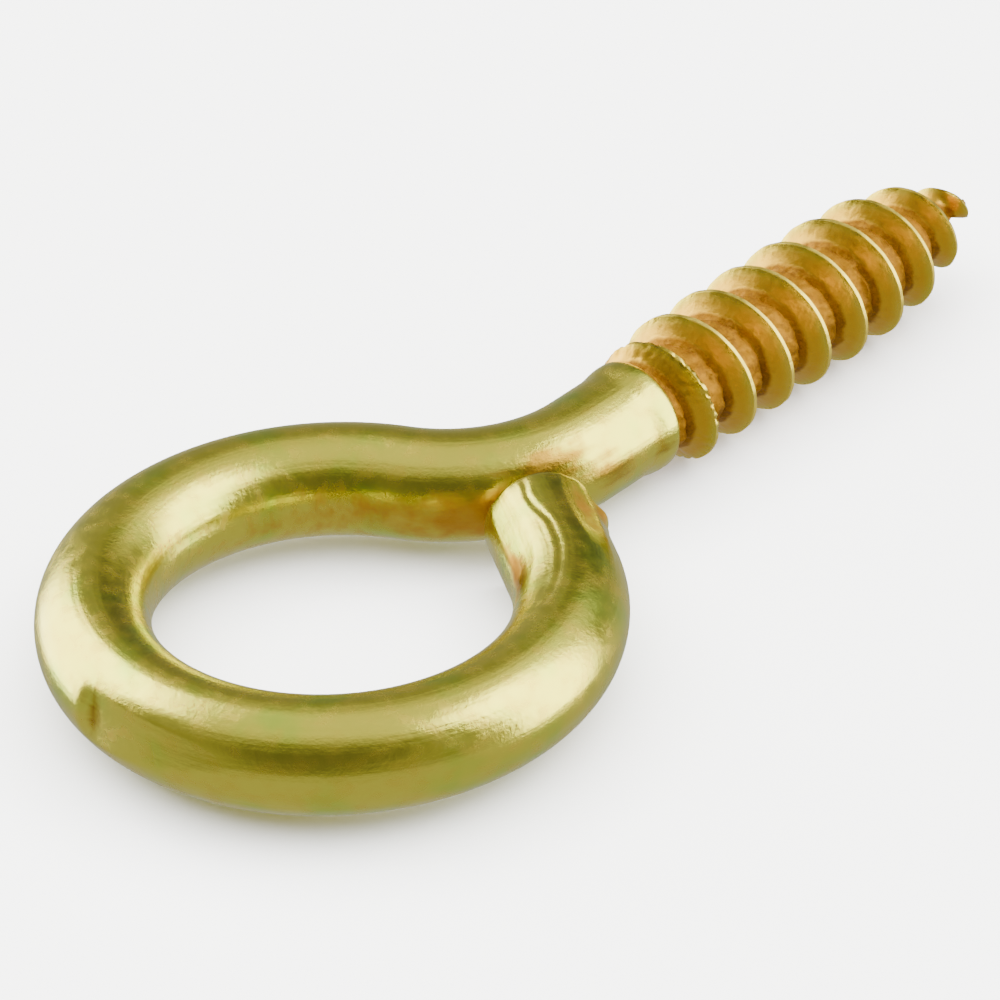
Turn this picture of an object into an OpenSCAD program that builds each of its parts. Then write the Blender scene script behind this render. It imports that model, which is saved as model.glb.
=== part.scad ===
// Screw eye: one piece of round wire, bent to an eye at one end and rolled to a
// right-hand wood thread with a gimlet point at the other.
// Lengths are in millimetres. The shank runs along +X from the middle of the eye to the point,
// the eye lies flat in the XY plane, and the cut end of the wire closes on the neck from -Y.

/* [Wire] */
// Diameter of the wire that the whole piece is made from
wire_d = 4; // [3:0.1:5]

/* [Eye] */
// Clear diameter inside the eye
eye_hole_d = 12.25; // [10:0.05:24]
// Radius of the reverse bend between eye and shank, to the middle of the wire
neck_r = 6.1; // [4:0.1:8]
// Straight length left at the cut end of the wire
end_len = 3.6; // [2:0.1:6]
// Space left between the cut end and the neck
end_gap = 0.6; // [0.2:0.1:1.5]
// Edge broken by the shear round the cut end
end_chamfer = 0.2; // [0.1:0.05:0.5]

/* [Shank] */
// Length of plain shank, from the end of the neck bend to the shoulder
plain_len = 3.1; // [2.4:0.1:40]
// Height of the swell that thread rolling leaves on the shank at the shoulder
swell_rise = 0.2; // [0.05:0.05:0.4]
// Length over which the shank swells
swell_len = 1; // [0.6:0.1:1.6]
// Length over which the swell then keeps its full height
collar_len = 0.4; // [0.2:0.1:0.6]

/* [Thread] */
// Length of the thread, from the shoulder to the point
thread_len = 18.9; // [15:0.1:24]
// Height of the crests above the wire's own surface
crest_rise = 0.6; // [0.4:0.05:0.8]
// Distance from one crest to the next
pitch = 2.12; // [1.8:0.02:2.6]
// Height of the crests above the root
thread_depth = 0.85; // [0.5:0.05:1]
// Width of the flat land on a crest
crest_w = 0.14; // [0.06:0.02:0.3]
// Axial width of one flank, from land to root
flank_w = 0.6; // [0.5:0.02:0.8]
// Length of the taper from full thread to the point
taper_len = 8.9; // [6:0.1:12]
// Distance along the shank from the shoulder to the middle of the first crest
first_crest = 0.3; // [0:0.1:0.6]
// Part of a turn over which the first crest rises out of the shoulder
run_in_share = 0.5; // [0.25:0.05:0.75]

/* [Hidden] */
$fn = 96;

// Columns of points round the thread
columns = 48;
// Whole turns of thread hidden inside the shank before the first crest shows
buried_turns = 1;
// Angle round the shank at which the first crest has its full height
full_crest_angle = 120;
// Steps along the curve of the swell
swell_steps = 6;
// Each bend is made this much too long and trimmed
trim_angle = 5;
// Length of the rounded nose in which the last turn closes on the point
nose_len = 0.9;
// The taper is a cubic whose own point lies a little past the nose
taper_power = 3;
taper_over = 0.3;
// Near the point the core keeps this share of the crest's radius
core_share = 0.3;
// Height, as a share of the thread's depth, where a flank turns into the root and at its middle
foot_level = 0.05;
waist_level = 0.5;
// Place of the flank's middle, as a share of its width out from the land
waist_share = 0.3;

wire_r = wire_d / 2;
eye_r = eye_hole_d / 2 + wire_r;

// The neck bend is tangent to the shank's axis and to the circle of the eye
neck_x = sqrt(pow(eye_r + neck_r, 2) - pow(neck_r, 2));
neck_angle = asin(neck_r / (eye_r + neck_r));

// The cut end stands off the outside of the neck bend by the gap
end_dist = norm([eye_r, end_len]);
bend_dist = eye_r + neck_r;
stand_off = neck_r + wire_r + end_gap;
end_swing = acos((pow(end_dist, 2) + pow(bend_dist, 2) - pow(stand_off, 2)) / (2 * end_dist * bend_dist));
eye_angle = 360 - end_swing - atan(end_len / eye_r);

shoulder_x = neck_x + plain_len;
tip_x = shoulder_x + thread_len;
taper_x = tip_x - taper_len;
nose_x = tip_x - nose_len;

// A smooth step from 0 to 1
function ease(u) = let (v = max(0, min(1, u))) v * v * (3 - 2 * v);

// Share of the full thread radius left at a place along the shank
function taper(x) = 1 - pow(max(0, x - taper_x) / (taper_len + taper_over), taper_power);
function crest_r(x) = (wire_r + crest_rise) * taper(x);
function root_r(x) = max(crest_r(x) - thread_depth, core_share * crest_r(x));

// Past the nose's start, places along the shank close up towards the point
function nose(x) = x < nose_x ? x : tip_x - nose_len * exp((nose_x - x) / nose_len);

// One pitch of the thread's section: distance along the shank from the crest, and height
half_land = crest_w / 2;
waist_x = half_land + waist_share * flank_w;
foot_x = half_land + flank_w;
section = [
    [-pitch / 2, 0],
    [-foot_x, foot_level],
    [-waist_x, waist_level],
    [-half_land, 1],
    [half_land, 1],
    [waist_x, waist_level],
    [foot_x, foot_level]
];
stations = len(section);

// The turns that reach the point, with those buried in the shank
turns = buried_turns + ceil(thread_len / pitch);
rows = turns * stations;

// How far the crest has risen at an angle counted along the helix
function rise(angle) = ease(1 + (angle - full_crest_angle) / (360 * run_in_share));

// A point of the thread's surface: column c counts round the shank, row i along it
function thread_point(c, i) =
    let (turn = floor(i / stations) - buried_turns)
    let (spot = section[i % stations])
    let (angle = 360 * (c / columns + turn))
    let (x = nose(shoulder_x + first_crest + pitch * angle / 360 + spot[0]))
    let (r = root_r(x) + (crest_r(x) - root_r(x)) * spot[1] * rise(angle))
    [x, r * cos(angle), r * sin(angle)];

module thread() {
    points = concat(
        [for (c = [0 : columns - 1], i = [0 : rows - 1]) thread_point(c, i)],
        [[shoulder_x + first_crest - (buried_turns + 1) * pitch, 0, 0], [tip_x, 0, 0]]
    );
    start = columns * rows;
    point = start + 1;
    last = columns - 1;
    // Two triangles between neighbouring columns, the second of which may be shifted by a turn
    function pair(a, b) = [[a, a + 1, b + 1], [a, b + 1, b]];
    faces = concat(
        [for (c = [0 : last - 1], i = [0 : rows - 2], f = pair(c * rows + i, (c + 1) * rows + i)) f],
        [for (i = [0 : rows - stations - 2], f = pair(last * rows + i, i + stations)) f],
        [for (c = [0 : last - 1]) [start, c * rows, (c + 1) * rows]],
        [[start, last * rows, stations]],
        [for (i = [0 : stations - 1]) [start, i + 1, i]],
        [for (c = [0 : last - 1]) [point, (c + 2) * rows - 1, (c + 1) * rows - 1]],
        [[point, rows - 1, columns * rows - 1 - stations]],
        [for (i = [0 : stations - 1]) [point, columns * rows - 2 - i, columns * rows - 1 - i]]
    );
    polyhedron(points, faces);
}

// Round stock along +X, from its outline of [distance along, radius] points
module turned(outline) {
    rotate([0, 90, 0])
        rotate_extrude()
            polygon([for (p = outline) [p[1], p[0]]]);
}

// A bend to the left: wire that sets out along +X from the origin and turns through a sweep.
// It is drawn back from its far end, where what follows sets out along its own +X, and it is made
// a little too long, then trimmed square at its start.
module left_bend(radius, sweep) {
    difference() {
        translate([0, radius, 0])
            rotate([0, 0, sweep])
                translate([0, -radius, 0]) {
                    mirror([1, 0, 0])
                        translate([0, radius, 0])
                            rotate([0, 0, -90])
                                rotate_extrude(angle = sweep + trim_angle)
                                    translate([radius, 0])
                                        rotate(-90)
                                            circle(d = wire_d);
                    children();
                }
        translate([-wire_r, -1.1 * wire_r, -wire_d])
            cube([wire_r, 2.2 * wire_r, 2 * wire_d]);
    }
}

// The same bend to the right
module right_bend(radius, sweep) {
    mirror([0, 1, 0])
        left_bend(radius, sweep)
            mirror([0, 1, 0])
                children();
}

module shank() {
    swell_x = shoulder_x - collar_len - swell_len;
    turned(concat(
        [[neck_x, 0], [neck_x, wire_r]],
        [for (k = [0 : swell_steps])
            [swell_x + swell_len * k / swell_steps, wire_r + swell_rise * ease(k / swell_steps)]],
        [[shoulder_x, wire_r + swell_rise], [shoulder_x, 0]]
    ));
}

// The straight end of the wire, set out along +X, with its sheared edge broken
module cut_end() {
    turned([
        [0, 0],
        [0, wire_r],
        [end_len - end_chamfer, wire_r],
        [end_len, wire_r - end_chamfer],
        [end_len, 0]
    ]);
}

module screw_eye() {
    color("goldenrod")
        union() {
            translate([neck_x, 0, 0])
                rotate([0, 0, 180])
                    right_bend(neck_r, 90 - neck_angle)
                        left_bend(eye_r, eye_angle)
                            cut_end();
            shank();
            thread();
        }
}

screw_eye();
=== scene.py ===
"""A screw eye: one length of brassed wire, bent to an eye and rolled to a wood thread."""

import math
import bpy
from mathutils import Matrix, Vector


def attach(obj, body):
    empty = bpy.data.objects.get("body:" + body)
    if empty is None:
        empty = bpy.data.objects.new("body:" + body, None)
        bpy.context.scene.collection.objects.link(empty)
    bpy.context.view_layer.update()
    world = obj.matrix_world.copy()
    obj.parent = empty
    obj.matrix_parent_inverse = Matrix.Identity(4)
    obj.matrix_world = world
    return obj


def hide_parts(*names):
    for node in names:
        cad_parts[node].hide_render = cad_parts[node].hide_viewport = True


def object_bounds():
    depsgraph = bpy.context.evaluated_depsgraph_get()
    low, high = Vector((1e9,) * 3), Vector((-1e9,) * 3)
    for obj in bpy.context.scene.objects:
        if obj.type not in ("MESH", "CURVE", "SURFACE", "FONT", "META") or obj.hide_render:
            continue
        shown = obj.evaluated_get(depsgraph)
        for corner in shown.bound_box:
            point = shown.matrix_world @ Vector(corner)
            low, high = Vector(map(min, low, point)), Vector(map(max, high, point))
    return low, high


bl_info = {
    "name": "Screw Eye",
    "version": (1, 0, 0),
    "blender": (4, 5, 0),
    "location": "3D View > Sidebar > Screw Eye",
    "description": "Bends, threads and finishes a brassed screw eye",
    "category": "Mesh",
}

from types import SimpleNamespace

import bmesh
import bpy
import numpy as np
from bpy.props import FloatProperty, FloatVectorProperty, PointerProperty
from mathutils import Matrix, Vector, noise

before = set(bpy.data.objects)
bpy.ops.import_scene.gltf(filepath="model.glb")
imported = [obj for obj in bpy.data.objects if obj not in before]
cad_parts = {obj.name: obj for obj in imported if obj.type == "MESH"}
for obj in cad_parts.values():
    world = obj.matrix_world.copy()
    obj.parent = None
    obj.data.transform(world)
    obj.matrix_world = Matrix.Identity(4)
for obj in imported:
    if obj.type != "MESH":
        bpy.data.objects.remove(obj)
CAD_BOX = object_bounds()

MM = 0.001
PIECE = "screw_eye_wire"

# Lengths are in millimetres and angles in degrees, apart from those that a comment gives another unit

# ---------------------------------------------------------------- how finely the mesh is made

COLUMNS = 160               # points round the wire
ROW_STEP = 0.3              # wire from one ring of points to the next
END_STEP = 0.12             # the same along the straight end, which carries the marks of the shear
COLLAR_RINGS = (0.1, 0.25, 0.45, 0.7, 1)            # rings on the collar, as shares of its length
SWELL_STEPS = 8             # rings along the swell
FACE_RINGS = (0.9, 0.75, 0.6, 0.45, 0.3, 0.15)      # rings in the cut face, as shares of its radius
FLANK_STEPS = 10            # points down one flank of the thread
ROOT_STEPS = 4              # steps from the foot of a flank to the middle of the root
SHOULDER_CUTS = 4           # rings added between the shank and the thread
MERGE = 0.0005              # points nearer than this become one
SLIVER = 0.0002             # edges shorter than this are dissolved
SAME_PLACE = 1e-4           # how far apart two places may be, in mm or radians, and count as one
TIE = 1e-6                  # how much nearer another stretch of wire has to be to be taken
ON_AXIS = 1e-9              # points nearer to the wire's axis than this don't move
SMOOTH_UNDER = 50           # faces that meet at less than this angle are shaded as one surface
WIRE_SHARE = 0.997          # share of its full thickness that keeps the wire inside the CAD model's box
BUMP_GAIN = 1.6             # brings the noise to about -1 to 1

# ---------------------------------------------------------------- thread

TAPER_OVER = 0.3            # the taper is a cubic whose own point lies this far past the real one
TAPER_POWER = 3
CORE_SHARE = 0.3            # near the point the core keeps this share of the crest's radius
FULL_CREST_ANGLE = 120      # angle round the shank at which the first crest has its full height
RUN_IN_ANGLE = 180          # angle over which it rises out of the shoulder
FLANK_POWER = 1.35          # above 1, so the flanks are hollow
FINE_GRAIN = 0.6            # height of the fine grain in the roots, as a share of the coarse grain's
CHIP_DEPTH = 0.12           # about how deep the deepest chips in the first crest are
CHIP_LEVEL = 0.1            # noise up to this leaves no chip

# ---------------------------------------------------------------- marks of bending and shearing

# The flat where the bending pin caught the eye starts at a sharp line and runs out to nothing
PIN_LINE = 25.85            # wire from the cut face to the line
PIN_LENGTH = 4.8            # wire from the line to where the flat has run out
PIN_DEPTH = 0.28            # depth at the line
PIN_POWER = 0.8             # under 1, so the flat stays deep for most of its length
PIN_ANGLE = 68              # angle of its middle where it has run out
PIN_TWIST = 14              # how much greater that angle is at the line
FLAT_REACH = 80             # a flat ends this far round the wire from its middle

# Flats that the shear presses in: distance from the cut face, half length, angle and depth
SHEAR_FLATS = ((2.8, 3.1, -50, 0.1), (2.2, 2.3, 34, 0.09))

# The line that the shear's die leaves: distance from the cut face, and angle
DIE_LINE = ((0.7, 1.3, 1.9, 2.4, 3.1, 3.7, 4.7, 5.6, 6.5, 7.5, 8.1, 8.8, 9.4),
            (-16.7, -19.1, -17.1, -13.8, -9.0, -8.7, -8.6, -10.4, -11.2, -13.1, -15.8, -24.9, -31.2))

# Patches: distance from the cut face, half length, angle, half angle, and strength or height
LIP = (1.4, 0.7, 78, 14, 0.17)
# Most of these are painted light in the brown: warm reflection inside the eye, the cut end's reflection and
# shade on the neck, and shade at the cut end
STAIN_AND_PAINTED_LIGHT_PATCHES = (
    (33.5, 4, -62, 12, 0.55),           # inside of the eye: painted warm reflection of the eye's near side
    (50.8, 1.7, -50, 26, 1),            # neck, on the side of the cut end: painted reflection of the cut end, and painted shade where it hides the lamp
    (52.9, 1.2, -84, 24, 0.7),          # end of the neck, on the same side: painted reflection of the cut end
    (55.4, 1.0, -90, 20, 0.6),          # plain shank, on the same side
    (4.9, 1.9, -60, 14, 1),             # eye, just past the straight end: painted shade that fades the first flat's highlight
    (1.6, 1.0, 60, 16, 0.6),            # beside the lip: painted shade at its foot
)
# Besides the rubs, these lay painted reflection and painted shade in the orange brown, at the cut end, in
# the eye and in the neck
RUB_AND_PAINTED_LIGHT_PATCHES = (
    (4.3, 2.6, -66, 9, 1),              # inner edge of the first flat, and past its end: painted shade along that edge
    (2.0, 1.6, 36, 13, 0.9),            # middle of the second flat: painted reflection of the shank
    (1.6, 0.8, 66, 14, 1),              # foot of the lip: painted shade
    (42, 6, -96, 34, 0.5),              # inside of the eye, up to the neck: painted warm reflection
    (46.5, 3, -92, 34, 0.4),            # start of the neck: painted shade beside the cut end
    (49.3, 1.6, -92, 34, 1),            # middle of the neck, on the side of the cut end: painted reflection of the cut end and painted shade
)
CUT_ROUND_LEN = 0.8         # length of wire over which the shear rounds the cut end's edge
CUT_ROUND_DEPTH = 0.14
SWELL_SOFTENED = 0.4        # share of the swell that the dies have smoothed away
SWELL_START = 0.5           # the swell is looked for only this far past the neck
EDGE_ROUND_DEPTH = 0.13     # how far the shoulder's edge is rounded down
EDGE_BAND = 0.5             # that rounding stays this near to the wire's own surface

# ---------------------------------------------------------------- finish

# Spots to the millimetre in the patterns of the finish
PATCHES_PER_MM = 0.45
MOTTLE_PER_MM = 1.7
BLOTCHES_PER_MM = 1.4
PITS_PER_MM = 5.0
# Lines that the drawing die leaves, along and across the wire: 10 mm long and 0.3 mm apart, which is
# coarser than real ones, so that they show
LINES_PER_MM = (0.1, 3.2, 3.2)
RELIEF = 0.03               # height of the lines and pits

# ---------------------------------------------------------------- stage, in metres and watts

STAGE_MIDDLE = Vector((0.012, 0, 0))
LAMP_DISTANCE = 0.6
# The room's light, by the direction that it comes from: how it joins the rest, azimuth, elevation,
# the cosines of the angle from there between which it changes, and its strength outside and inside
ROOM_LIGHT = (
    ("ADD", 0, 90, 0.6, 1.0, 0.3, 0.9),             # even all round, and brighter overhead
    ("ADD", 0, -90, -0.1, 0.3, 0.0, 0.22),          # a little from below the horizon
    ("ADD", -2, 45, 0.92, 1.0, 0.0, 0.8),           # a bright patch high beyond the point
    ("MULTIPLY", -142, 32, 0.75, 0.97, 1.0, 0.5),   # darker on the camera's side
    ("MULTIPLY", 22, 25, 0.93, 0.99, 1.0, 0.4),     # a dark patch beside the bright one
)
# The camera: where it looks, from what direction and how far, in millimetres and degrees
CAMERA_TARGET = Vector((8.72, 0.116, 0))
CAMERA_AZIMUTH = -137.623
CAMERA_ELEVATION = 34.132
CAMERA_ROLL = -1.466
CAMERA_DISTANCE = 205.463
SENSOR_WIDTH = 36
FOCAL_LENGTH = 212.14
NEAREST, FURTHEST = 0.01, 20        # what the camera sees, in metres


def mm_length(name, description, default_mm):
    """A length property whose default is given in millimetres."""
    return FloatProperty(name=name, description=description, default=default_mm * MM,
                         unit="LENGTH", subtype="DISTANCE", precision=5)


def hex_to_linear(value):
    """Turns an sRGB hex value such as "D8B64C" to the linear colour that a shader takes."""
    channels = [int(value[i:i + 2], 16) / 255 for i in (0, 2, 4)]
    return tuple(c / 12.92 if c <= 0.04045 else ((c + 0.055) / 1.055) ** 2.4 for c in channels)


def colour(name, description, value):
    """A colour property whose default is given as an sRGB hex value."""
    return FloatVectorProperty(name=name, description=description, default=hex_to_linear(value),
                               subtype="COLOR", size=3, min=0, max=1)


def ease(u):
    """A smooth step from 0 to 1."""
    u = np.clip(u, 0, 1)
    return u * u * (3 - 2 * u)


def step(value, start, over, low=0.0, high=1.0):
    """A smooth change from low, up to the start, to high, once past what it changes over."""
    return low + (high - low) * ease((value - start) / over)


def bell(value, at, reach, height=1.0):
    """A smooth bell of the given height, which is near nothing at twice its reach."""
    return height * np.exp(-np.square((value - at) / reach))


def bumps(points, size, shift=0):
    """Smooth uneven values from about -1 to 1, for bumps of one size; each shift has its own."""
    return np.array([noise.noise(Vector(q)) for q in (points + shift) / size]) * BUMP_GAIN


# ---------------------------------------------------------------- sizes and colours


class ScrewEyeSizes(bpy.types.PropertyGroup):
    """Sizes of the screw eye and its floor"""
    wire_d: mm_length("Wire", "Diameter of the wire", 4)
    eye_hole_d: mm_length("Eye", "Clear diameter inside the eye", 12.25)
    neck_r: mm_length("Neck radius", "Radius of the bend between eye and shank", 6.1)
    end_len: mm_length("Straight end", "Straight length left at the cut end", 3.6)
    end_gap: mm_length("Gap", "Space between the cut end and the neck", 0.6)
    end_chamfer: mm_length("Sheared edge", "Edge broken by the shear round the cut end", 0.2)
    plain_len: mm_length("Plain shank", "Length from the neck bend to the shoulder", 3.1)
    swell_rise: mm_length("Swell", "Height of the swell at the shoulder, before it is softened", 0.2)
    swell_len: mm_length("Swell length", "Length over which the shank swells", 1)
    collar_len: mm_length("Collar", "Length over which the swell keeps its height", 0.4)
    thread_len: mm_length("Thread length", "Length from the shoulder to the point", 18.9)
    crest_rise: mm_length("Crest rise", "Height of the crests above the wire", 0.6)
    pitch: mm_length("Pitch", "Distance from one crest to the next", 2.12)
    thread_depth: mm_length("Thread depth", "Height of the crests above the root", 0.85)
    crest_w: mm_length("Crest width", "Width of the flat land on a crest", 0.14)
    flank_w: mm_length("Flank width", "Axial width of a flank", 0.6)
    taper_len: mm_length("Taper", "Length from full thread to the point", 8.9)
    first_crest: mm_length("First crest", "Distance from the shoulder to the first crest", 0.3)
    root_rough: mm_length("Root roughness", "Height of the rough bumps in the roots", 0.05)
    shoulder_round: mm_length("Shoulder edge", "Rounding of the shoulder's edge", 0.22)
    floor_side: mm_length("Floor", "Side of the floor", 3000)


class ScrewEyeColours(bpy.types.PropertyGroup):
    """Colours of the wire's finish and of the floor"""
    brass: colour("Brass", "Clean bright brass of the wire", "E6DC50")
    green_brass: colour("Greenish brass", "Brass where its skin has dulled to green", "CADA4C")
    warm_brass: colour("Warm brass", "Redder brass where the dies have rubbed the skin thin", "E8BC42")
    thread_gold: colour("Thread gold", "Orange gold of the rolled flanks", "DAA82A")
    root_metal: colour("Root metal", "Rough orange metal in the roots of the thread", "B4821F")
    root_dark: colour("Root pits", "Dark pits in the roots of the thread", "946826")
    # The rubbed colour and the brown below also paint reflection and shade at the cut end, in the neck and
    # inside the eye
    rubbed: colour("Rubbed brass", "Orange brown where tools and bending have rubbed the wire", "D09830")
    brown_for_stain_and_painted_light: colour("Stain", "Brown film left by lubricant where the wire was bent and cut", "9A6A18")
    land: colour("Crest", "Bright yellow of the crests, which the dies rub clean", "F0D858")
    floor: colour("Floor", "Pale matt floor", "F6F6F4")


def plan(context):
    """The sizes in millimetres, with the places worked out from them. Angles here are in radians."""
    sizes = context.scene.screw_eye_sizes
    p = SimpleNamespace(**{k: getattr(sizes, k) / MM for k in ScrewEyeSizes.__annotations__})
    p.wire_r = p.wire_d / 2
    p.eye_r = p.eye_hole_d / 2 + p.wire_r
    # The neck bend is tangent to the shank's axis and to the circle of the eye
    p.neck_x = math.sqrt((p.eye_r + p.neck_r) ** 2 - p.neck_r ** 2)
    p.neck_angle = math.asin(p.neck_r / (p.eye_r + p.neck_r))
    p.neck_sweep = math.pi / 2 - p.neck_angle
    # The cut end stands off the outside of the neck bend by the gap
    end_dist = math.hypot(p.eye_r, p.end_len)
    bend_dist = p.eye_r + p.neck_r
    stand_off = p.neck_r + p.wire_r + p.end_gap
    swing = math.acos((end_dist ** 2 + bend_dist ** 2 - stand_off ** 2) / (2 * end_dist * bend_dist))
    p.eye_sweep = 2 * math.pi - swing - math.atan(p.end_len / p.eye_r)
    # The straight end starts at this angle of the eye, and sets out in this direction
    p.eye_end = p.neck_angle + p.eye_sweep
    p.end_outer = np.array([math.cos(p.eye_end), math.sin(p.eye_end), 0])
    p.end_onward = np.array([-math.sin(p.eye_end), math.cos(p.eye_end), 0])
    # Places along the shank, and lengths of wire from the cut face to the neck and to the shank
    p.shoulder_x = p.neck_x + p.plain_len
    p.tip_x = p.shoulder_x + p.thread_len
    p.taper_x = p.tip_x - p.taper_len
    p.eye_along = p.end_len + p.eye_r * p.eye_sweep
    p.neck_along = p.eye_along + p.neck_r * p.neck_sweep
    return p


# ---------------------------------------------------------------- places on the wire


def straighten(p, points):
    """Where points would lie if the wire were drawn out straight: distance along it from the cut
    face, distance off its axis to the outer side of the eye, and height. Also gives, in the bent
    wire, the direction of that outer side."""
    x, y, z = points.T
    best = np.full(len(points), np.inf)
    along, side = np.zeros(len(points)), np.zeros(len(points))
    outer = np.zeros((len(points), 3))

    def fit(inside, new_along, new_side, new_outer):
        """Takes a stretch of wire for the points inside it that lie nearer to its axis."""
        off = np.hypot(new_side, z)
        better = inside & (off < best - TIE)
        along[better], side[better], best[better] = new_along[better], new_side[better], off[better]
        outer[better] = new_outer[better] if new_outer.ndim == 2 else new_outer

    # The straight end
    from_start = points - p.eye_r * p.end_outer
    ahead = from_start @ p.end_onward
    fit((ahead > -SAME_PLACE) & (ahead < p.end_len + SAME_PLACE), p.end_len - ahead,
        from_start @ p.end_outer, p.end_outer)
    # The eye
    angle = np.arctan2(y, x) % (2 * math.pi)
    angle = np.where(angle < p.neck_angle - SAME_PLACE, angle + 2 * math.pi, angle)
    fit(angle < p.eye_end + SAME_PLACE, p.end_len + p.eye_r * (p.eye_end - angle),
        np.hypot(x, y) - p.eye_r, np.c_[np.cos(angle), np.sin(angle), 0 * angle])
    # The neck
    dx, dy = x - p.neck_x, y - p.neck_r
    angle = np.arctan2(dy, dx) % (2 * math.pi)
    turned = angle - math.pi - p.neck_angle
    fit((turned > -SAME_PLACE) & (turned < p.neck_sweep + SAME_PLACE), p.eye_along + p.neck_r * turned,
        p.neck_r - np.hypot(dx, dy), np.c_[-np.cos(angle), -np.sin(angle), 0 * angle])
    # The shank
    fit(x > p.neck_x - SAME_PLACE, p.neck_along + x - p.neck_x, y, np.array([0.0, 1, 0]))
    return np.c_[along, side, z], outer


def wire_places(p, points):
    """Each point's place on the wire: how far along it is, how far off the wire's axis, as a radius
    and as a vector, and at what angle from the wire's top towards the outer side of the eye."""
    straight, outer = straighten(p, points)
    along, side, up = straight.T
    return SimpleNamespace(
        points=points, x=points[:, 0], straight=straight, along=along, radius=np.hypot(side, up),
        off_axis=side[:, None] * outer + up[:, None] * np.array([0.0, 0, 1]),
        angle=np.degrees(np.arctan2(side, up)), threaded=points[:, 0] > p.shoulder_x + SAME_PLACE)


# ---------------------------------------------------------------- thread form


def crest_radius(p, x):
    """Radius over the crests at a place along the shank."""
    past = np.clip(x - p.taper_x, 0, None) / (p.taper_len + TAPER_OVER)
    return (p.wire_r + p.crest_rise) * (1 - past ** TAPER_POWER)


def root_radius(p, x):
    """Radius of the roots at a place along the shank."""
    crest = crest_radius(p, x)
    return np.maximum(crest - p.thread_depth, CORE_SHARE * crest)


def thread_form(p, x, phi):
    """The clean thread at places along the shank and angles round it, in radians: radius, height
    above the root as a share of full height, distance from the nearest crest, and its turn."""
    helix = (x - p.shoulder_x - p.first_crest) / p.pitch - phi / (2 * math.pi)
    turn = np.round(helix)
    off = (helix - turn) * p.pitch
    rise = step(turn * 360 + np.degrees(phi), start=FULL_CREST_ANGLE - RUN_IN_ANGLE, over=RUN_IN_ANGLE)
    down = np.clip((np.abs(off) - p.crest_w / 2) / p.flank_w, 0, 1)
    height = (1 - down) ** FLANK_POWER * rise
    root, crest = root_radius(p, x), crest_radius(p, x)
    return root + (crest - root) * height, height, off, turn


def roughen(p, points, height, off, turn, phi):
    """What rolling adds to the clean thread, in millimetres of radius: rough roots with a crease
    at the foot of each leading flank and a low ridge beside it, worn crests, chips in the first
    crest, and a pinch in the last turn."""
    x, angle = points[:, 0], np.degrees(phi)
    along_helix = turn * 360 + angle
    into_taper = x - p.taper_x
    foot = -p.crest_w / 2 - p.flank_w
    # The roots are smoother towards the point
    rough = step(into_taper, start=2.2, over=1.6, low=1, high=0.2)
    roots = step(height, start=0, over=0.22, low=1, high=0)
    grain = rough * roots * (bumps(points, size=0.42) + FINE_GRAIN * bumps(points, size=0.2, shift=9))
    # The crease is four times as deep on the side of the cut end as elsewhere
    crease = bell(off, at=foot - 0.02, reach=0.07, height=-0.055)
    crease *= 0.5 + bell(angle, at=183, reach=16, height=1.5)
    # The ridge is higher in the last turns
    ridge = rough * bell(off, at=foot - 0.17, reach=0.08) * (1 + 0.5 * bumps(points, size=0.4, shift=4))
    ridge *= step(into_taper, start=0, over=2, low=0.03, high=0.12)
    worn = step(height, start=0.09, over=0.9, high=-0.012) * (1 + bumps(points, size=0.5, shift=6))
    first_turn = step(along_helix, start=-60, over=90) * step(along_helix, start=240, over=90, low=1, high=0)
    chipped = first_turn * ease(height) * np.clip(bumps(points, size=0.22, shift=2) - CHIP_LEVEL, 0, None)
    # The last turn is pinched where the dies part from the point
    pinch = bell(x, at=p.tip_x - 1.3, reach=0.24, height=-0.34) * bell(angle, at=122, reach=34)
    share = crest_radius(p, x) / crest_radius(p, p.shoulder_x)
    return share * (p.root_rough * grain + crease + ridge + worn - CHIP_DEPTH * chipped) + pinch


# ---------------------------------------------------------------- modelling helpers


def stop_editing():
    """Goes back to object mode."""
    if bpy.context.mode != "OBJECT":
        bpy.ops.object.mode_set(mode="OBJECT")


def select_alone(obj):
    """Makes an object the active one and the only one selected."""
    stop_editing()
    bpy.ops.object.select_all(action="DESELECT")
    obj.select_set(True)
    bpy.context.view_layer.objects.active = obj


def edit_alone(obj):
    """Makes an object the only one selected, and opens it for editing."""
    select_alone(obj)
    bpy.ops.object.mode_set(mode="EDIT")


def points_of(obj):
    """The object's points in millimetres."""
    co = np.empty(len(obj.data.vertices) * 3, np.float32)
    obj.data.vertices.foreach_get("co", co)
    return co.reshape(-1, 3).astype(float) / MM


def set_points(obj, points):
    """Moves the object's points to places in millimetres."""
    obj.data.vertices.foreach_set("co", (points * MM).astype(np.float32).ravel())
    obj.data.update()


def round_points(x, radius, turn):
    """Points at places along the shank, at radii and at angles in radians from +Y."""
    return np.c_[x, radius * np.cos(turn), radius * np.sin(turn)]


def select_points(obj, mask):
    """Selects the points that a mask names, in object mode, with the edges between them."""
    mesh = obj.data
    mask = np.asarray(mask, bool)
    mesh.vertices.foreach_set("select", mask)
    ends = np.empty(len(mesh.edges) * 2, np.int32)
    mesh.edges.foreach_get("vertices", ends)
    mesh.edges.foreach_set("select", mask[ends.reshape(-1, 2)].all(axis=1))
    mesh.polygons.foreach_set("select", np.zeros(len(mesh.polygons), bool))
    mesh.update()


def store(obj, name, values):
    """Keeps a value, or a vector, for each point of an object, for its finish to use."""
    kind, field = ("FLOAT_VECTOR", "vector") if values.ndim == 2 else ("FLOAT", "value")
    attribute = obj.data.attributes.new(name, kind, "POINT")
    attribute.data.foreach_set(field, values.astype(np.float32).ravel())


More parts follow.
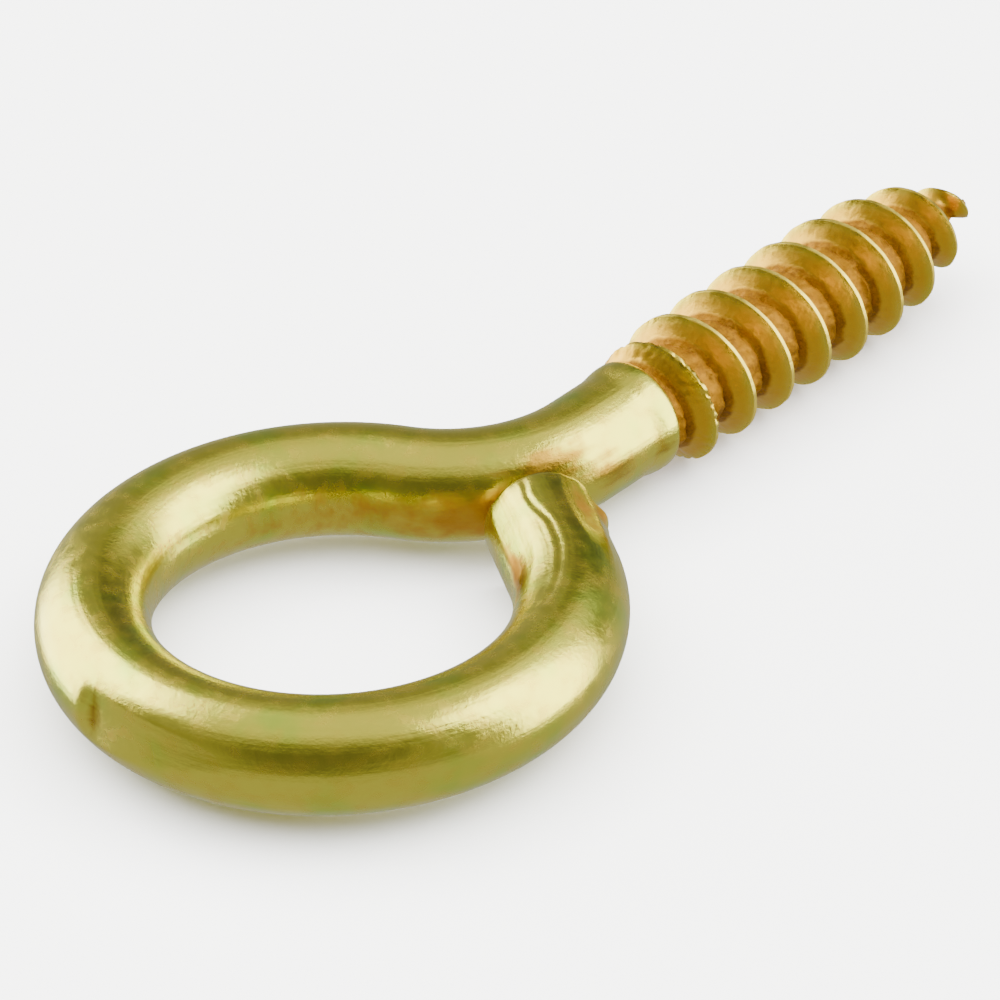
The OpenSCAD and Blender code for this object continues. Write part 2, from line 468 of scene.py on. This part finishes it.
def draw_on(travel, scale=1.0, centre=(0, 0, 0)):
    """Extrudes the last ring of an open wire by a travel, then scales it about a centre."""
    bpy.ops.mesh.extrude_region_move(TRANSFORM_OT_translate={"value": tuple(v * MM for v in travel)})
    if scale != 1.0:
        bpy.ops.transform.resize(value=(scale, scale, scale), center_override=tuple(v * MM for v in centre))


# ---------------------------------------------------------------- the wire


def shank_rings(p):
    """The rings from the shoulder back to the neck: distance back, and share of the swell left."""
    swell_end = p.collar_len + p.swell_len
    plain = p.plain_len - swell_end
    count = max(2, round(plain / ROW_STEP))
    rings = [(p.collar_len * share, 1.0) for share in COLLAR_RINGS]
    for k in range(1, SWELL_STEPS + 1):
        rings.append((p.collar_len + p.swell_len * k / SWELL_STEPS, 1 - float(ease(k / SWELL_STEPS))))
    rings += [(swell_end + plain * k / count, 0.0) for k in range(1, count + 1)]
    return rings


class BendWire(bpy.types.Operator):
    """Bends the plain wire: shank, neck, eye and cut end"""
    bl_idname = "screw_eye.bend_wire"
    bl_label = "Bend Wire"

    def execute(self, context):
        p = plan(context)
        stop_editing()
        bpy.ops.object.select_all(action="DESELECT")
        # The ring at the shoulder: its first point lies on +Y, as the thread's first column does
        radius = p.wire_r + p.swell_rise
        bpy.ops.mesh.primitive_circle_add(vertices=COLUMNS, radius=radius * MM, fill_type="NOTHING")
        wire = context.object
        wire.name = wire.data.name = PIECE
        turn = np.arange(COLUMNS) * 2 * math.pi / COLUMNS
        set_points(wire, round_points(np.full(COLUMNS, p.shoulder_x), radius, turn))
        edit_alone(wire)
        bpy.ops.mesh.select_all(action="SELECT")
        # Collar, swell and plain shank, back to the neck
        x = p.shoulder_x
        for back, share in shank_rings(p):
            new_x, new_radius = p.shoulder_x - back, p.wire_r + p.swell_rise * share
            draw_on((new_x - x, 0, 0), new_radius / radius, (new_x, 0, 0))
            x, radius = new_x, new_radius
        # Neck, turning right on the way to the eye, then the eye itself, turning left
        bpy.ops.mesh.spin(steps=round(p.neck_sweep * p.neck_r / ROW_STEP), angle=p.neck_sweep,
                          center=(p.neck_x * MM, p.neck_r * MM, 0), axis=(0, 0, 1))
        bpy.ops.mesh.spin(steps=round(p.eye_sweep * p.eye_r / ROW_STEP), angle=p.eye_sweep,
                          center=(0, 0, 0), axis=(0, 0, -1))
        # The straight end, with its sheared edge broken and its face closed
        face = p.eye_r * p.end_outer + p.end_onward * p.end_len
        straight = p.end_len - p.end_chamfer
        count = round(straight / END_STEP)
        for _ in range(count):
            draw_on(p.end_onward * straight / count)
        draw_on(p.end_onward * p.end_chamfer, (p.wire_r - p.end_chamfer) / p.wire_r, face)
        share = 1.0
        for new_share in FACE_RINGS:
            draw_on((0, 0, 0), new_share / share, face)
            share = new_share
        bpy.ops.mesh.edge_face_add()
        stop_editing()
        return {"FINISHED"}


# ---------------------------------------------------------------- the thread


def thread_section(p):
    """Distances from the crest along one pitch, close together on the land and down the flanks."""
    land, half = p.crest_w / 2, p.pitch / 2
    foot = land + p.flank_w
    side = np.r_[0, land, land + p.flank_w * np.linspace(0, 1, FLANK_STEPS + 1)[1:],
                 foot + (half - foot) * np.linspace(0, 1, ROOT_STEPS + 1)[1:-1]]
    return np.unique(np.r_[-half, -side, side, half])


class RollThread(bpy.types.Operator):
    """Rolls the thread: one section swept along its helix, then tapered to the point"""
    bl_idname = "screw_eye.roll_thread"
    bl_label = "Roll Thread"

    def execute(self, context):
        p = plan(context)
        section = thread_section(p)
        first = p.shoulder_x + p.first_crest - p.pitch
        mesh = bpy.data.meshes.new("thread")
        mesh.from_pydata([((first + off) * MM, p.wire_r * MM, 0) for off in section],
                         [(i, i + 1) for i in range(len(section) - 1)], [])
        thread = bpy.data.objects.new("thread", mesh)
        context.collection.objects.link(thread)
        select_alone(thread)
        helix = thread.modifiers.new("helix", "SCREW")
        helix.axis = "X"
        helix.angle = 2 * math.pi
        helix.screw_offset = p.pitch * MM
        helix.iterations = math.ceil((p.tip_x - first) / p.pitch) + 1
        helix.steps = helix.render_steps = COLUMNS
        helix.use_merge_vertices = False
        bpy.ops.object.modifier_apply(modifier=helix.name)
        # Each point of the sweep goes to its place on the thread
        co = points_of(thread)
        column = np.round(np.arctan2(co[:, 2], co[:, 1]) / (2 * math.pi) * COLUMNS) % COLUMNS
        phi = column * 2 * math.pi / COLUMNS
        x = np.clip(co[:, 0], p.shoulder_x, p.tip_x)
        clean, height, off, turn = thread_form(p, x, phi)
        rolled = clean + roughen(p, round_points(x, clean, phi), height, off, turn, phi)
        set_points(thread, round_points(x, np.minimum(rolled, crest_radius(p, x)), phi))
        edit_alone(thread)
        bpy.ops.mesh.select_all(action="SELECT")
        bpy.ops.mesh.flip_normals()      # the sweep leaves its faces pointing inward
        bpy.ops.mesh.remove_doubles(threshold=MERGE * MM)
        bpy.ops.mesh.dissolve_degenerate(threshold=SLIVER * MM)
        stop_editing()
        # The last row closes on the point
        select_points(thread, points_of(thread)[:, 0] > p.tip_x - SAME_PLACE)
        edit_alone(thread)
        bpy.ops.mesh.merge(type="CENTER")
        stop_editing()
        return {"FINISHED"}


class JoinPieces(bpy.types.Operator):
    """Joins thread and wire at the shoulder into one closed piece"""
    bl_idname = "screw_eye.join_pieces"
    bl_label = "Join Pieces"

    def execute(self, context):
        p = plan(context)
        wire = bpy.data.objects[PIECE]
        select_alone(wire)
        bpy.data.objects["thread"].select_set(True)
        bpy.ops.object.join()
        edit_alone(wire)
        bpy.ops.mesh.select_mode(type="EDGE")
        bpy.ops.mesh.select_all(action="DESELECT")
        mesh = bmesh.from_edit_mesh(wire.data)
        for edge in mesh.edges:
            on_shoulder = all(abs(v.co.x / MM - p.shoulder_x) < SAME_PLACE for v in edge.verts)
            edge.select = on_shoulder and edge.is_boundary
        bmesh.update_edit_mesh(wire.data)
        bpy.ops.mesh.bridge_edge_loops(number_cuts=SHOULDER_CUTS, interpolation="LINEAR")
        bpy.ops.mesh.select_all(action="SELECT")
        bpy.ops.mesh.normals_make_consistent(inside=False)
        stop_editing()
        return {"FINISHED"}


# ---------------------------------------------------------------- marks on the wire


def angle_from(places, angle):
    """How far round the wire places are from an angle, from -180 to 180."""
    return (places.angle - angle + 180) % 360 - 180


def patch(places, at, half_len, angle, half_angle, strength):
    """A patch of the wire's surface, strongest in its middle and fading to its edges."""
    return bell(places.along, at, half_len, strength) * bell(angle_from(places, angle), 0, half_angle)


def flatten(p, radius, turn, depth):
    """The wire's radius with a flat pressed in to a depth, square to where turn is 0."""
    inside = (depth > 0) & (np.abs(turn) < FLAT_REACH)
    flat = (p.wire_r - depth) / np.cos(np.radians(np.where(inside, turn, 0)))
    return np.where(inside, np.minimum(radius, flat), radius)


def pin_flat(places):
    """The flat that the bending pin leaves: how far it is from running out, from 1 at its sharp
    line to 0, and how far round the wire places are from its middle."""
    share = np.clip(1 - (PIN_LINE - places.along) / PIN_LENGTH, 0, 1)
    share = np.where(places.along < PIN_LINE, share, 0)
    turn = places.angle - PIN_ANGLE - PIN_TWIST * share
    return np.where(np.abs(turn) < FLAT_REACH, share, 0), turn


def mark_bends(p, places, radius):
    """Presses in the mark of the bending pin."""
    share, turn = pin_flat(places)
    return flatten(p, radius, turn, PIN_DEPTH * share ** PIN_POWER)


def mark_cut_end(p, places, radius):
    """Leaves what the shear does to the end: flats, a rounded edge, a lip and its die's line."""
    for at, half_len, angle, depth in SHEAR_FLATS:
        lens = 1 - ((places.along - at) / half_len) ** 2
        radius = flatten(p, radius, angle_from(places, angle), depth * lens)
    to_face = np.clip(1 - places.along / CUT_ROUND_LEN, 0, 1)
    rounded = to_face ** 2 * bell(places.angle, at=-60, reach=50, height=CUT_ROUND_DEPTH)
    lip = patch(places, *LIP) * (1 + 0.5 * bumps(places.points, size=0.5))
    # The line is a groove between two burrs
    off = np.radians(places.angle - np.interp(places.along, *DIE_LINE)) * p.wire_r
    line = bell(off, at=0.2, reach=0.1, height=0.012) + bell(off, at=-0.2, reach=0.1, height=0.016)
    line += bell(off, at=0, reach=0.1, height=-0.032)
    line *= step(places.along, start=0, over=0.6) * step(places.along, start=8.6, over=1.2, low=1, high=0)
    return radius - rounded + lip + line


def mark_shoulder(p, places, radius):
    """Leaves what the rolling dies do to the shoulder: they soften its swell and round its edge."""
    above = places.radius - p.wire_r
    softened = np.where(places.x > p.neck_x + SWELL_START, SWELL_SOFTENED * above, 0)
    to_edge = np.clip(1 - (p.shoulder_x - places.x) / p.shoulder_round, 0, 1)
    rounded = np.where(np.abs(above) < EDGE_BAND, EDGE_ROUND_DEPTH * to_edge ** 2, 0)
    return radius - softened - rounded


def thread_level(p, places):
    """Height above the root as a share of the thread's depth, and 1 on the plain wire."""
    crest, root = crest_radius(p, places.x), root_radius(p, places.x)
    from_axis = np.hypot(places.points[:, 1], places.points[:, 2])
    return np.where(places.x > p.shoulder_x - SAME_PLACE, (from_axis - root) / (crest - root), 1)


def stain_and_painted_light_places(places, level):
    """Where the brown is laid: painted reflection of the cut end and painted shade on the neck and at the
    cut end, painted warm reflection inside the eye, a real brown film on the shank, a painted shade line at
    the pin's flat, and painted shade down in the thread.
    """
    # Painted shade: a dark line along the pin flat's sharp edge, too narrow for the mesh to hold as a crease
    pin_line_painted_shade = bell(places.along, at=PIN_LINE - 0.15, reach=0.3, height=0.9)
    pin_line_painted_shade = pin_line_painted_shade * bell(places.angle, at=74, reach=42)
    on_wire = sum(patch(places, *row) for row in STAIN_AND_PAINTED_LIGHT_PATCHES) + pin_line_painted_shade
    # Down the thread the brown is painted shade, strongest in the roots
    return np.where(places.threaded, step(level, start=0, over=0.85, low=0.5, high=0), on_wire)


def rub_and_painted_light_places(places):
    """Where the orange brown is laid: partly rubs of tools and bending, partly painted reflection and
    painted shade at the cut end, in the eye and in the neck.
    """
    # The pin's flat: a tool mark, darkened further by painted shade
    on_pin_flat = pin_flat(places)[0] * bell(places.angle, at=84, reach=26, height=0.4)
    return sum(patch(places, *row) for row in RUB_AND_PAINTED_LIGHT_PATCHES) + on_pin_flat


class MarkWire(bpy.types.Operator):
    """Leaves the marks of bending and shearing on the wire"""
    bl_idname = "screw_eye.mark_wire"
    bl_label = "Mark Wire"

    def execute(self, context):
        p = plan(context)
        wire = bpy.data.objects[PIECE]
        places = wire_places(p, points_of(wire))
        radius = mark_bends(p, places, places.radius)
        radius = mark_cut_end(p, places, radius)
        radius = mark_shoulder(p, places, radius)
        radius = np.where(places.threaded, places.radius, WIRE_SHARE * radius)
        # Every point moves straight in or out from the wire's axis
        moved = places.radius > ON_AXIS
        scale = np.where(moved, radius / np.maximum(places.radius, ON_AXIS), 1)
        set_points(wire, places.points + (scale - 1)[:, None] * places.off_axis)
        level = thread_level(p, places)
        store(wire, "straight", places.straight)
        store(wire, "thread_level", np.clip(level, 0, 1))
        # The rubbed and brown masks also carry painted reflection and painted shade
        store(wire, "rubbed", np.clip(rub_and_painted_light_places(places), 0, 1))
        store(wire, "stain_and_painted_light_mask", np.clip(stain_and_painted_light_places(places, level), 0, 1))
        store(wire, "threaded", step(places.x, start=p.shoulder_x - 0.3, over=0.4))
        select_alone(wire)
        bpy.ops.object.shade_smooth_by_angle(angle=math.radians(SMOOTH_UNDER))
        return {"FINISHED"}


# ---------------------------------------------------------------- finishes

SMOOTH = {"interpolation_type": "SMOOTHSTEP"}       # for a range that is eased at both ends


def add_node(tree, kind, settings=None, links=None, output=0):
    """Adds a node, sets its properties or input values, links its inputs, and gives one output."""
    node = tree.nodes.new(kind)
    for key, value in (settings or {}).items():
        if isinstance(key, str) and hasattr(node, key) and key not in node.inputs:
            setattr(node, key, value)
        else:
            node.inputs[key].default_value = value
    for key, source in (links or {}).items():
        tree.links.new(source, node.inputs[key])
    return node.outputs[output] if node.outputs else None


class FinishWire(bpy.types.Operator):
    """Gives the wire its brass finish"""
    bl_idname = "screw_eye.finish_wire"
    bl_label = "Brass Finish"

    def execute(self, context):
        colours = context.scene.screw_eye_colours
        wire = bpy.data.objects[PIECE]
        # Wire drawn through a die, brassed, bent and rolled: a soft yellow shine with fine lines
        # along it, duller orange flanks with bright crests, and rough brown roots
        material = bpy.data.materials.new("brassed_drawn_wire")
        material.use_nodes = True
        tree = material.node_tree
        tree.nodes.clear()
        # Places in millimetres on the straightened wire, and what each point knows of itself
        place = add_node(tree, "ShaderNodeAttribute", {"attribute_name": "straight"}, output="Vector")
        # The rubbed and brown masks carry painted reflection and painted shade as well as rubs and film
        level, threaded, rubbed, stain_and_painted_light_mask = (
            add_node(tree, "ShaderNodeAttribute", {"attribute_name": name}, output="Fac")
            for name in ("thread_level", "threaded", "rubbed", "stain_and_painted_light_mask"))
        # Patterns: lines along the wire, broad patches, mottle, and blotches and pits for the roots
        lines = add_node(tree, "ShaderNodeMapping", {"Scale": LINES_PER_MM}, {"Vector": place})
        drawn = add_node(tree, "ShaderNodeTexNoise", {"Scale": 1, "Detail": 2, "Roughness": 0.5},
                         {"Vector": lines})
        patches = add_node(tree, "ShaderNodeTexNoise",
                           {"Scale": PATCHES_PER_MM, "Detail": 2, "Roughness": 0.5}, {"Vector": place})
        mottle = add_node(tree, "ShaderNodeTexNoise",
                          {"Scale": MOTTLE_PER_MM, "Detail": 2.5, "Roughness": 0.5}, {"Vector": place})
        blotches = add_node(tree, "ShaderNodeTexNoise",
                            {"Scale": BLOTCHES_PER_MM, "Detail": 3, "Roughness": 0.6}, {"Vector": place})
        pits = add_node(tree, "ShaderNodeTexNoise",
                        {"Scale": PITS_PER_MM, "Detail": 4, "Roughness": 0.7}, {"Vector": place})

        def broken_up(mask, share, low, high, to_low=0.0, to_high=1.0):
            """A mask whose edges are broken up by a share of the mottle."""
            uneven = add_node(tree, "ShaderNodeMath", {"operation": "MULTIPLY_ADD", 1: share},
                              {0: mottle, 2: mask})
            return add_node(tree, "ShaderNodeMapRange", {
                **SMOOTH, "From Min": low, "From Max": high, "To Min": to_low, "To Max": to_high},
                {"Value": uneven})

        def on_thread(mask):
            """A mask kept to the thread."""
            return add_node(tree, "ShaderNodeMath", {"operation": "MULTIPLY"}, {0: threaded, 1: mask})

        # Soft patches where the skin has gone green, and small ones where it is rubbed warm
        green = add_node(tree, "ShaderNodeMapRange", {**SMOOTH, "From Min": 0.47, "From Max": 0.72},
                         {"Value": patches})
        warm = add_node(tree, "ShaderNodeMapRange", {
            **SMOOTH, "From Min": 0.42, "From Max": 0.75, "To Max": 0.3}, {"Value": mottle})
        # Rolled flanks: orange gold that clears to clean brass towards the crests
        gold = on_thread(add_node(tree, "ShaderNodeMapRange", {
            **SMOOTH, "From Min": 0.5, "To Min": 0.95, "To Max": 0.5}, {"Value": level}))
        # Crests that the dies have rubbed clean, and places that tools have rubbed through, where the same
        # orange brown also paints reflection and shade
        land = on_thread(broken_up(level, 0.12, 0.99, 1.05))
        worn = broken_up(rubbed, 0.7, 0.55, 1.35, to_high=0.95)
        # A brown drawn out along the wire: a little real film, and mostly painted reflection and painted
        # shade, strongest in the thread's roots
        streaks = add_node(tree, "ShaderNodeMath", {"operation": "MULTIPLY_ADD", 1: 0.6},
                           {0: drawn, 2: stain_and_painted_light_mask})
        film = broken_up(streaks, 0.6, 0.92, 1.5, to_high=0.85)
        skin = add_node(tree, "ShaderNodeMix", {
            "data_type": "RGBA", 6: (*colours.brass, 1), 7: (*colours.green_brass, 1)},
            {0: green}, output=2)
        # The last two layers are partly painted reflection and painted shade
        for mask, laid_over in ((warm, colours.warm_brass), (gold, colours.thread_gold),
                                (land, colours.land), (worn, colours.rubbed), (film, colours.brown_for_stain_and_painted_light)):
            skin = add_node(tree, "ShaderNodeMix", {"data_type": "RGBA", 7: (*laid_over, 1)},
                            {0: mask, 6: skin}, output=2)
        # Roots of the thread: rough orange metal, pitted here and there
        root = broken_up(level, 0.3, 0.27, 0.45, to_low=1, to_high=0)
        open_metal = add_node(tree, "ShaderNodeMapRange", {**SMOOTH, "From Min": 0.45, "From Max": 0.6},
                              {"Value": pits})
        pitted = add_node(tree, "ShaderNodeMix", {
            "data_type": "RGBA", 6: (*colours.root_dark, 1), 7: (*colours.root_metal, 1)},
            {0: open_metal}, output=2)
        clear = add_node(tree, "ShaderNodeMapRange", {
            **SMOOTH, "From Min": 0.4, "From Max": 0.6, "To Min": 0.75, "To Max": 0}, {"Value": blotches})
        metal = add_node(tree, "ShaderNodeMix", {"data_type": "RGBA", 6: (*colours.root_metal, 1)},
                         {0: clear, 7: pitted}, output=2)
        base = add_node(tree, "ShaderNodeMix", {"data_type": "RGBA"}, {0: root, 6: skin, 7: metal},
                        output=2)
        # The plain wire is the smoothest, and each kind of wear makes it duller
        flank = on_thread(add_node(tree, "ShaderNodeMapRange", {
            **SMOOTH, "From Min": 0.7, "To Min": 1, "To Max": 0}, {"Value": level}))
        rough = add_node(tree, "ShaderNodeMapRange", {
            **SMOOTH, "From Min": 0.3, "From Max": 0.75, "To Min": 0.12, "To Max": 0.24}, {"Value": mottle})
        for mask, added in ((drawn, 0.12), (root, 0.3), (flank, 0.14), (worn, 0.24), (land, 0.2)):
            rough = add_node(tree, "ShaderNodeMath", {"operation": "MULTIPLY_ADD", 1: added},
                             {0: mask, 2: rough})
        # Relief: drawing lines and pits, which are deeper in the roots
        pit_depth = add_node(tree, "ShaderNodeMath", {"operation": "MULTIPLY_ADD", 1: 1.2, 2: 0.8},
                             {0: root})
        pitting = add_node(tree, "ShaderNodeMath", {"operation": "MULTIPLY"}, {0: pits, 1: pit_depth})
        relief = add_node(tree, "ShaderNodeMath", {"operation": "MULTIPLY_ADD", 1: 1.1},
                          {0: drawn, 2: pitting})
        normal = add_node(tree, "ShaderNodeBump", {"Strength": 0.5, "Distance": RELIEF * MM},
                          {"Height": relief})
        surface = add_node(tree, "ShaderNodeBsdfPrincipled", {"Metallic": 1},
                           {"Base Color": base, "Roughness": rough, "Normal": normal})
        add_node(tree, "ShaderNodeOutputMaterial", links={"Surface": surface})
        wire.data.materials.clear()
        wire.data.materials.append(material)
        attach(wire, "root")
        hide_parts("screw_eye")
        return {"FINISHED"}


# ---------------------------------------------------------------- stage


def direction(azimuth, elevation):
    """The unit vector at an azimuth from +X and an elevation."""
    a, e = math.radians(azimuth), math.radians(elevation)
    return Vector((math.cos(a) * math.cos(e), math.sin(a) * math.cos(e), math.sin(e)))


def lay_floor(side, floor_colour):
    """Lays a plain floor, a side in metres, under the screw eye."""
    bpy.ops.object.select_all(action="DESELECT")
    bpy.ops.mesh.primitive_plane_add(size=side, location=(0, 0, CAD_BOX[0][2]))
    floor = bpy.context.object
    floor.name = "floor"
    # Matt paint: an even pale ground with no shine
    paint = bpy.data.materials.new("pale_matt_floor")
    paint.use_nodes = True
    shader = paint.node_tree.nodes["Principled BSDF"]
    shader.inputs["Base Color"].default_value = (*floor_colour, 1)
    shader.inputs["Roughness"].default_value = 0.9
    floor.data.materials.append(paint)
    floor.visible_glossy = False      # the metal mirrors the room, not the floor
    floor.visible_shadow = False      # nor does the floor cut the lamps' reflections short


def add_softbox(name, azimuth, elevation, width, height, power):
    """Adds a lamp with a flat rectangular front, aimed at the middle of the stage."""
    place = STAGE_MIDDLE + direction(azimuth, elevation) * LAMP_DISTANCE
    bpy.ops.object.light_add(type="AREA", location=place)
    lamp = bpy.context.object
    lamp.name = name
    lamp.rotation_euler = (STAGE_MIDDLE - place).to_track_quat("-Z", "Y").to_euler()
    lamp.data.shape = "RECTANGLE"
    lamp.data.size, lamp.data.size_y = width, height
    lamp.data.energy = power
    return lamp


def light_room(scene):
    """Fills the room with soft white light that changes with its direction."""
    world = bpy.data.worlds.new("studio")
    scene.world = world
    world.use_nodes = True
    tree = world.node_tree
    seen = add_node(tree, "ShaderNodeTexCoord", output="Generated")
    strength = None
    for operation, azimuth, elevation, low, high, to_low, to_high in ROOM_LIGHT:
        toward = {"operation": "DOT_PRODUCT", 1: tuple(direction(azimuth, elevation))}
        facing = add_node(tree, "ShaderNodeVectorMath", toward, {0: seen}, output="Value")
        light = add_node(tree, "ShaderNodeMapRange", {
            **SMOOTH, "From Min": low, "From Max": high, "To Min": to_low, "To Max": to_high},
            {"Value": facing})
        if strength is not None:
            light = add_node(tree, "ShaderNodeMath", {"operation": operation}, {0: strength, 1: light})
        strength = light
    background = tree.nodes["Background"]
    background.inputs["Color"].default_value = (1, 1, 1, 1)
    tree.links.new(strength, background.inputs["Strength"])


def place_camera(scene):
    """Places the camera, looking down from behind the eye, on the side of the cut end."""
    back = direction(CAMERA_AZIMUTH, CAMERA_ELEVATION)
    bpy.ops.object.camera_add(location=CAMERA_TARGET * MM + back * CAMERA_DISTANCE * MM)
    camera = bpy.context.object
    facing = (-back).to_track_quat("-Z", "Y").to_matrix()
    camera.rotation_euler = (facing @ Matrix.Rotation(math.radians(CAMERA_ROLL), 3, "Z")).to_euler()
    camera.data.sensor_width, camera.data.lens = SENSOR_WIDTH, FOCAL_LENGTH
    camera.data.clip_start, camera.data.clip_end = NEAREST, FURTHEST
    scene.camera = camera


class SetStage(bpy.types.Operator):
    """Sets the floor, the studio light and the camera"""
    bl_idname = "screw_eye.set_stage"
    bl_label = "Set Stage"

    def execute(self, context):
        lay_floor(context.scene.screw_eye_sizes.floor_side, context.scene.screw_eye_colours.floor)
        add_softbox("right_softbox", azimuth=-49, elevation=24, width=0.47, height=1.0, power=8.8)
        add_softbox("left_softbox", azimuth=101, elevation=20, width=0.52, height=0.98, power=9.7)
        # A lamp overhead for the floor alone, out of the metal's reflections
        floor_lamp = add_softbox("floor_lamp", azimuth=0, elevation=90, width=1.2, height=1.2, power=40)
        floor_lamp.visible_glossy = False
        light_room(context.scene)
        place_camera(context.scene)
        return {"FINISHED"}


# ---------------------------------------------------------------- add-on


class ScrewEyePanel(bpy.types.Panel):
    """Sizes, colours and steps of the screw eye"""
    bl_idname = "VIEW3D_PT_screw_eye"
    bl_label = "Screw Eye"
    bl_space_type = "VIEW_3D"
    bl_region_type = "UI"
    bl_category = "Screw Eye"

    def draw(self, context):
        for group in (context.scene.screw_eye_sizes, context.scene.screw_eye_colours):
            for name in type(group).__annotations__:
                self.layout.prop(group, name)
        for operator in STEPS:
            self.layout.operator(operator.bl_idname)


STEPS = (BendWire, RollThread, JoinPieces, MarkWire, FinishWire, SetStage)
CLASSES = (ScrewEyeSizes, ScrewEyeColours, *STEPS, ScrewEyePanel)


def register():
    for cls in CLASSES:
        bpy.utils.register_class(cls)
    bpy.types.Scene.screw_eye_sizes = PointerProperty(type=ScrewEyeSizes)
    bpy.types.Scene.screw_eye_colours = PointerProperty(type=ScrewEyeColours)


def unregister():
    del bpy.types.Scene.screw_eye_sizes
    del bpy.types.Scene.screw_eye_colours
    for cls in reversed(CLASSES):
        bpy.utils.unregister_class(cls)


def main():
    register()
    bpy.ops.screw_eye.bend_wire()
    bpy.ops.screw_eye.roll_thread()
    bpy.ops.screw_eye.join_pieces()
    bpy.ops.screw_eye.mark_wire()
    bpy.ops.screw_eye.finish_wire()
    bpy.ops.screw_eye.set_stage()
    bpy.context.view_layer.update()


if __name__ == "__main__":
    main()
